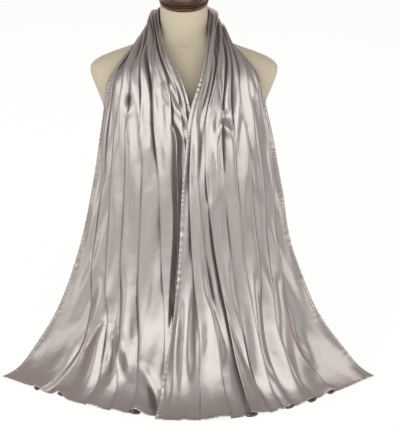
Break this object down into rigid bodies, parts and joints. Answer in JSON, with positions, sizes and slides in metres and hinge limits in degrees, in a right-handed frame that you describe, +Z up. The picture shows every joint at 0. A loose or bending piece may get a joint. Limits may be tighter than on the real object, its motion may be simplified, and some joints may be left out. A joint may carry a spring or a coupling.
{
  "type": "hijab scarf on a dress form",
  "caption": "Long satin scarf laid round the neck of a limbless tabletop dress form, its pleated ends crossing at a V and spreading in a wide fan at the hem.",
  "frame": {"origin": "middle of the flat underside of the dress form's base board, on the surface that it stands on", "axes": "+Z up, -Y towards the front of the form where both ends of the scarf hang, +X towards the viewer's right of that front"},
  "size_m": [0.7386, 0.413, 0.8097],
  "materials": {
    "satin": "glossy satin, silver taupe",
    "linen_cover": "matt plain-woven cover, cream",
    "dark_wood": "turned and varnished, very dark brown",
    "base_board": "plain board"
  },
  "bodies": {
    "root": {"scarf_left_end": "satin", "scarf_nape": "satin", "scarf_right_end": "satin", "form_body": "linen_cover", "form_neck_cap": "dark_wood", "form_board": "base_board"}
  },
  "joints": []
}
